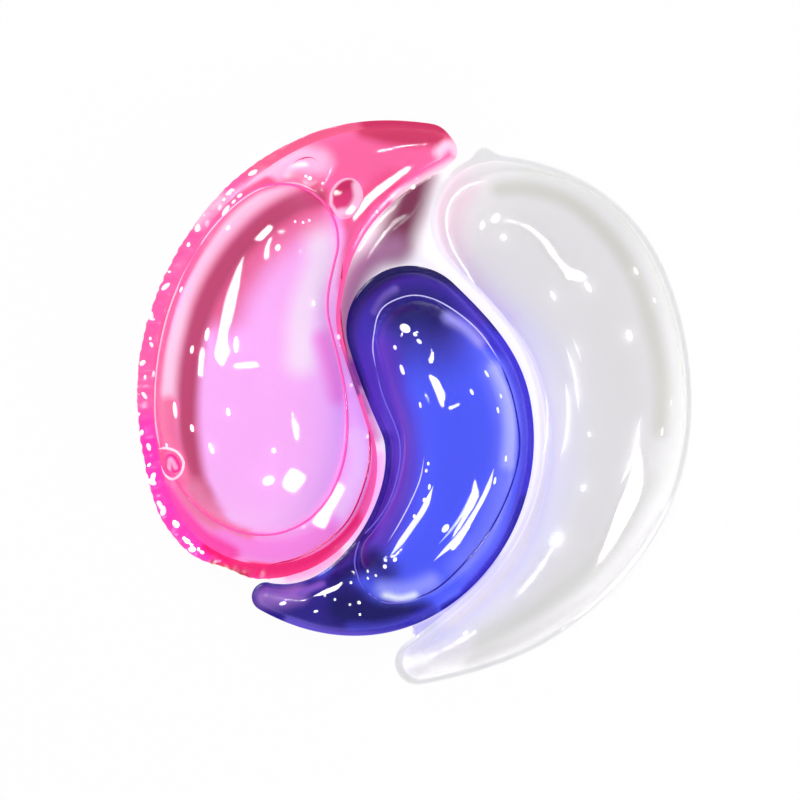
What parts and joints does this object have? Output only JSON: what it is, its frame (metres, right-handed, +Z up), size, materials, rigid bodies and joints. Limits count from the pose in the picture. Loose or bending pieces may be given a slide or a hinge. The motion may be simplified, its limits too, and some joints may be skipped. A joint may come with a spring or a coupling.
{
  "type": "laundry detergent pod",
  "caption": "Single-dose laundry pod: swirled pink, blue and white chambers of liquid sealed between a formed clear film and a bellied lower film.",
  "frame": {"origin": "centre of the footprint, on the plane that the pod rests on", "axes": "+Z up out of the formed side, +X from the pink chamber to the white one, +Y towards the pink chamber's tail"},
  "size_m": [0.0498, 0.0508, 0.0153],
  "materials": {
    "clear_film": "glossy clear soluble film",
    "pink_liquid": "clear pink liquid under glossy film",
    "blue_liquid": "deep blue liquid under glossy film",
    "white_liquid": "milky white liquid under glossy film"
  },
  "bodies": {
    "root": {"formed_film": "clear_film", "lid_film": "clear_film", "pink_liquid": "pink_liquid", "blue_liquid": "blue_liquid", "white_liquid": "white_liquid"}
  },
  "joints": []
}
